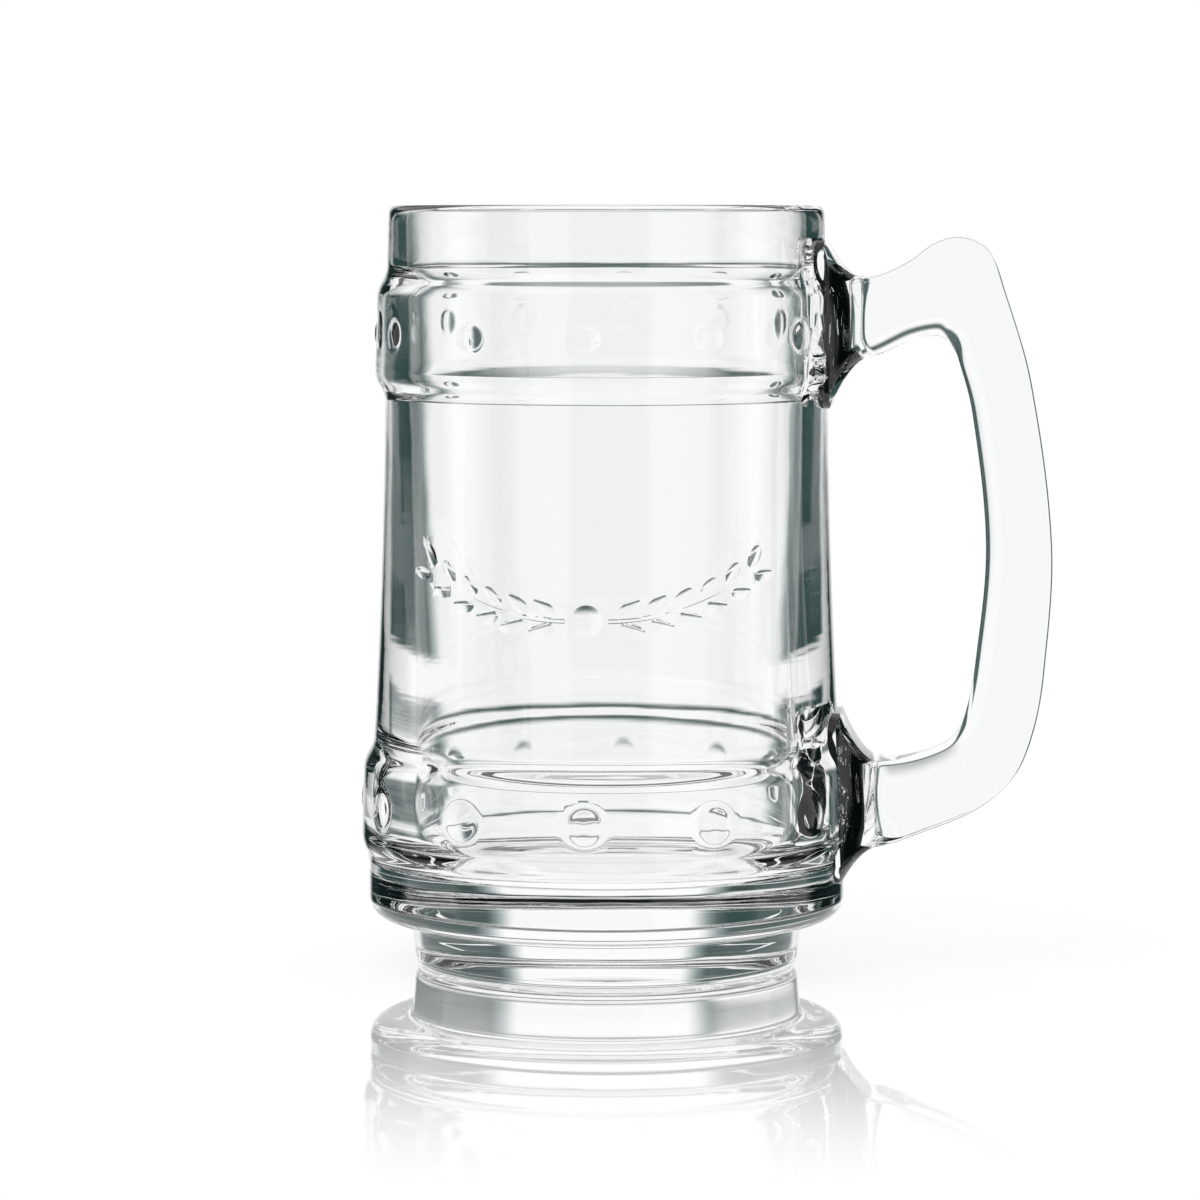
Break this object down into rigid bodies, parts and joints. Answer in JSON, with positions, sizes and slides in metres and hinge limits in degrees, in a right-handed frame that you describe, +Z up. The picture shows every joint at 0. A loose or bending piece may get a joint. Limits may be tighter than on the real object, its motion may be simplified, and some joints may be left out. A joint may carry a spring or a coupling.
{
  "type": "glass tankard",
  "caption": "Heavy pressed-glass tankard: round bowl with two studded hoops, a stepped foot, a thick base and a flat-sided loop handle fused to the wall.",
  "frame": {"origin": "middle of the footprint box of bowl and handle together, on the table", "axes": "+Z up along the bowl's axis, +X towards the handle, -Y towards the front of the bowl"},
  "size_m": [0.1274, 0.0912, 0.14],
  "materials": {
    "clear_glass": "fire-polished, clear with a faint green-grey tint"
  },
  "bodies": {
    "root": {"bowl": "clear_glass", "handle": "clear_glass"}
  },
  "joints": []
}
